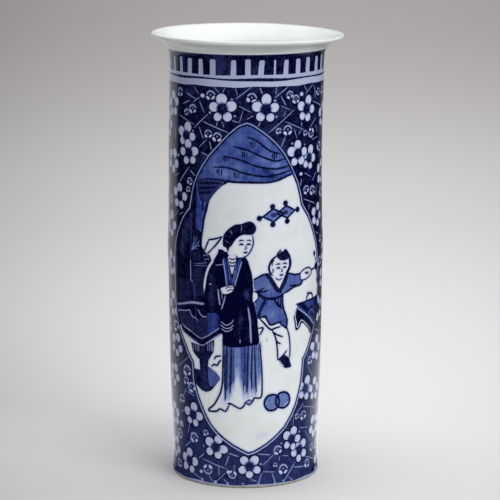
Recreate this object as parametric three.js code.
// A porcelain sleeve vase: a tall, nearly straight cylinder with an everted mouth rim.
// It is built as the potter builds it, from sections that are thrown or cut apart and luted together:
// a turned foot ring, a base disc seated on its ledge, a lower and an upper wall with a band of slip
// between them, and a flared mouth rim. Millimetres, +Z up; the origin is the middle of the foot's resting face.
import * as THREE from "three";

// Heights: the whole vase, the foot, the luting seam between the two walls, and the rim
const overallHeight = 260;
const footHeight = 6.2;
const seamHeight = 134.2;
const slipThickness = 1.6;
const rimHeight = 8.5;

// The silhouette is full at the seam. Elsewhere it draws in from the seam's radius by these amounts.
const seamRadius = 45.3;
const footDrawIn = 2.2;
const heelDrawIn = 2.4;
const haunchDrawIn = 1.4;
const bellyDrawIn = 0.6;
const waistDrawIn = 0.95;
const neckDrawIn = 0.45;
const throatFlare = 1.1;
const rimOverhang = 9.2;

// Heights of those bends, from the foot up or, for the neck, down from the rim
const heelHeight = 17;
const haunchHeight = 45;
const bellyHeight = 76;
const waistShare = 0.555;
const neckDrop = 4.9;

// Walls
const wallThickness = 3.6;
const throatWall = 3;

// Foot ring and base disc
const ledgeWidth = 1.3;
const footEdgeRound = 0.9;
const footInnerChamfer = 0.6;
const baseRecess = 4.4;
const baseThickness = 4.4;
const floorCoveRadius = 3.6;

// Slip band at the seam
const slipSwell = 0.12;
const slipBead = 0.6;

// Mouth rim: a thin flange with a rounded lip. Its bends are shares of its overhang and its height.
const lipRound = 1.25;
const coveReachShare = 0.46;
const coveRiseShare = 0.46;
const underLipInsetShare = 0.28;
const underLipDropShare = 0.376;
const dishReachShare = 0.61;
const dishFallShare = 0.31;

// Fineness of the round shapes
const turns = 72;
const wallSteps = 2;
const coveSteps = 3;
const dishSteps = 4;
const roundSteps = 4;

// Worked out from the sizes above
const slipTop = seamHeight + slipThickness;
const rimSeatHeight = overallHeight - rimHeight;
const neckHeight = rimSeatHeight - neckDrop;
const waistHeight = THREE.MathUtils.lerp(slipTop, rimSeatHeight, waistShare);
const floorHeight = baseRecess + baseThickness;
const footRadius = seamRadius - footDrawIn;
const heelRadius = seamRadius - heelDrawIn;
const throatRadius = seamRadius + throatFlare;
const rimRadius = throatRadius + rimOverhang;
const innerHeelRadius = heelRadius - wallThickness;
const innerSeamRadius = seamRadius - wallThickness;
const innerThroatRadius = throatRadius - throatWall;
const footInnerRadius = innerHeelRadius - ledgeWidth;

const glaze = { roughness: 0.12, metalness: 0 };
const whiteGlaze = { color: "#e9eeec", ...glaze };
const blueGlaze = { color: "#3c4380", ...glaze };
const bareClay = { color: "#cfc5b4", roughness: 0.85, metalness: 0 };

/** A point of a half section: its distance from the axis and its height. */
const at = (radius, height) => new THREE.Vector2(radius, height);

/** Points on a smooth curve through a few bends of the silhouette. */
function throughBends(bends, steps) {
  return new THREE.SplineCurve(bends).getPoints(steps * (bends.length - 1));
}

/** Points on an arc about a centre, from one angle to another, in degrees. */
function arc(centre, radius, from, to, steps) {
  const points = [];
  for (let i = 0; i <= steps; i += 1) {
    const angle = THREE.MathUtils.degToRad(from + ((to - from) * i) / steps);
    points.push(at(centre.x + radius * Math.cos(angle), centre.y + radius * Math.sin(angle)));
  }
  return points;
}

/** Points of a profile whose neighbours differ, so that no ring is made twice. */
function withoutRepeats(points) {
  return points.filter((p, i) => i === 0 || p.distanceTo(points[i - 1]) > Number.EPSILON * overallHeight);
}

/** Turns a half section about the vessel's axis. The section runs up the outside and down the inside. */
function turned(name, finish, section) {
  const profile = withoutRepeats(section);
  const closed = profile[0].x === 0 ? profile : [...profile, profile[0].clone()];
  const geometry = new THREE.LatheGeometry(closed, turns);
  geometry.rotateX(Math.PI / 2);
  const mesh = new THREE.Mesh(geometry, new THREE.MeshStandardMaterial(finish));
  mesh.name = name;
  return mesh;
}

/** The foot: a ring with a rounded outer edge, and a ledge inside that the base disc sits on. */
function footRing() {
  const edge = at(footRadius - footEdgeRound, footEdgeRound);
  return turned("foot_ring", bareClay, [
    at(footInnerRadius + footInnerChamfer, 0),
    ...arc(edge, footEdgeRound, -90, 0, roundSteps),
    at(footRadius, footHeight),
    at(innerHeelRadius, footHeight),
    at(innerHeelRadius, baseRecess),
    at(footInnerRadius, baseRecess),
    at(footInnerRadius, footInnerChamfer),
  ]);
}

/** The floor of the vessel: a flat disc that lies on the ledge of the foot ring. */
function baseDisc() {
  return turned("base_disc", whiteGlaze, [
    at(0, baseRecess),
    at(innerHeelRadius, baseRecess),
    at(innerHeelRadius, floorHeight),
    at(0, floorHeight),
  ]);
}

/**
 * The lower wall: drawn in a little at the heel and full at the belly. It stands on the foot ring,
 * and a cove inside it laps over the edge of the base disc.
 */
function lowerWall() {
  const outside = throughBends(
    [
      at(heelRadius, heelHeight),
      at(seamRadius - haunchDrawIn, haunchHeight),
      at(seamRadius - bellyDrawIn, bellyHeight),
      at(seamRadius, seamHeight),
    ],
    wallSteps,
  );
  const inside = outside.map((p) => at(p.x - wallThickness, p.y)).reverse();
  const coveCentre = at(innerHeelRadius - floorCoveRadius, floorHeight + floorCoveRadius);
  const cove = arc(coveCentre, floorCoveRadius, 0, -75, roundSteps);
  return turned("lower_wall", blueGlaze, [
    at(footRadius, footHeight),
    ...outside,
    ...inside,
    ...cove,
    at(cove[roundSteps].x, floorHeight),
    at(innerHeelRadius, floorHeight),
    at(innerHeelRadius, footHeight),
  ]);
}

/** The slip that joins the two walls, which swells a little outside and stands proud in a bead inside. */
function seamSlip() {
  const middle = seamHeight + slipThickness / 2;
  const beadSide = slipThickness / 4;
  return turned("seam_slip", blueGlaze, [
    at(seamRadius, seamHeight),
    at(seamRadius + slipSwell, middle),
    at(seamRadius, slipTop),
    at(innerSeamRadius, slipTop),
    at(innerSeamRadius - slipBead, middle + beadSide),
    at(innerSeamRadius - slipBead, middle - beadSide),
    at(innerSeamRadius, seamHeight),
  ]);
}

/** The upper wall: slightly waisted, then flared where the rim sits on it. */
function upperWall() {
  const outside = throughBends(
    [
      at(seamRadius, slipTop),
      at(seamRadius - waistDrawIn, waistHeight),
      at(seamRadius - neckDrawIn, neckHeight),
      at(throatRadius, rimSeatHeight),
    ],
    wallSteps,
  );
  const rise = rimSeatHeight - slipTop;
  const inside = outside.map((p) => {
    const share = (p.y - slipTop) / rise;
    return at(p.x - THREE.MathUtils.lerp(wallThickness, throatWall, share), p.y);
  });
  return turned("upper_wall", blueGlaze, [...outside, ...inside.reverse()]);
}

/** The everted mouth rim: a cove below, a rounded lip at the edge and a shallow dish above. */
function mouthRim() {
  const lip = at(rimRadius - lipRound, overallHeight - lipRound);
  const underLip = at(
    rimRadius - underLipInsetShare * rimOverhang,
    overallHeight - underLipDropShare * rimHeight,
  );
  const cove = at(throatRadius + coveReachShare * rimOverhang, rimSeatHeight + coveRiseShare * rimHeight);
  const below = throughBends([at(throatRadius, rimSeatHeight), cove, underLip], coveSteps);
  const edge = arc(lip, lipRound, -70, 90, roundSteps);
  const dish = at(rimRadius - dishReachShare * rimOverhang, overallHeight - dishFallShare * rimHeight);
  const above = throughBends([at(lip.x, overallHeight), dish, at(innerThroatRadius, rimSeatHeight)], dishSteps);
  return turned("mouth_rim", whiteGlaze, [...below, ...edge, ...above]);
}

const vase = new THREE.Group();
vase.add(footRing(), baseDisc(), lowerWall(), seamSlip(), upperWall(), mouthRim());

export default vase;
